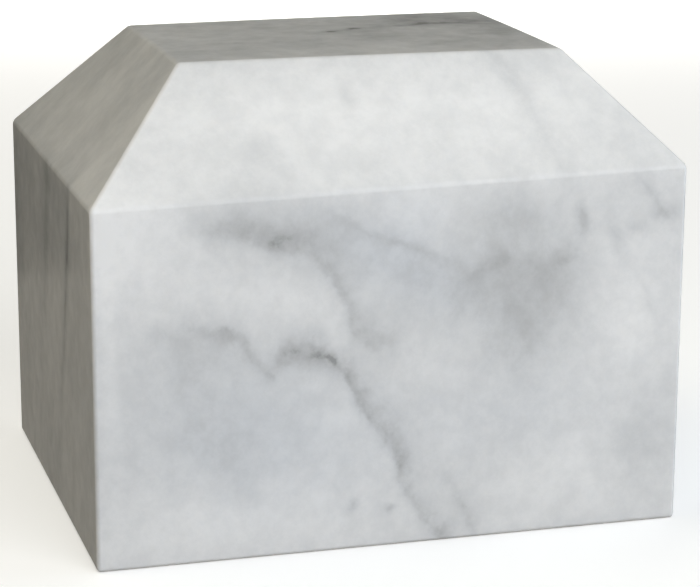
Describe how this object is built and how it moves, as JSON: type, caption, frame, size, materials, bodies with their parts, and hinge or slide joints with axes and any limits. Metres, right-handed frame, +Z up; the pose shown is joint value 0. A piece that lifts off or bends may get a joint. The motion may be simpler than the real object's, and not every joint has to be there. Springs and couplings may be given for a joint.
{
  "type": "cremation urn",
  "caption": "Hollow marble block urn with a chamfered top, filled from below and closed by a flat base plate set in its underside; it holds cremated remains.",
  "frame": {"origin": "middle of the underside, in the plane that the urn stands on", "axes": "+X along the width, to the right as seen from the front; +Y from the front to the back; +Z up"},
  "size_m": [0.254, 0.2, 0.201],
  "materials": {
    "polished_marble": "polished",
    "honed_marble": "satin"
  },
  "bodies": {
    "root": {"urn_body": "polished_marble", "base_plate": "honed_marble"}
  },
  "joints": []
}
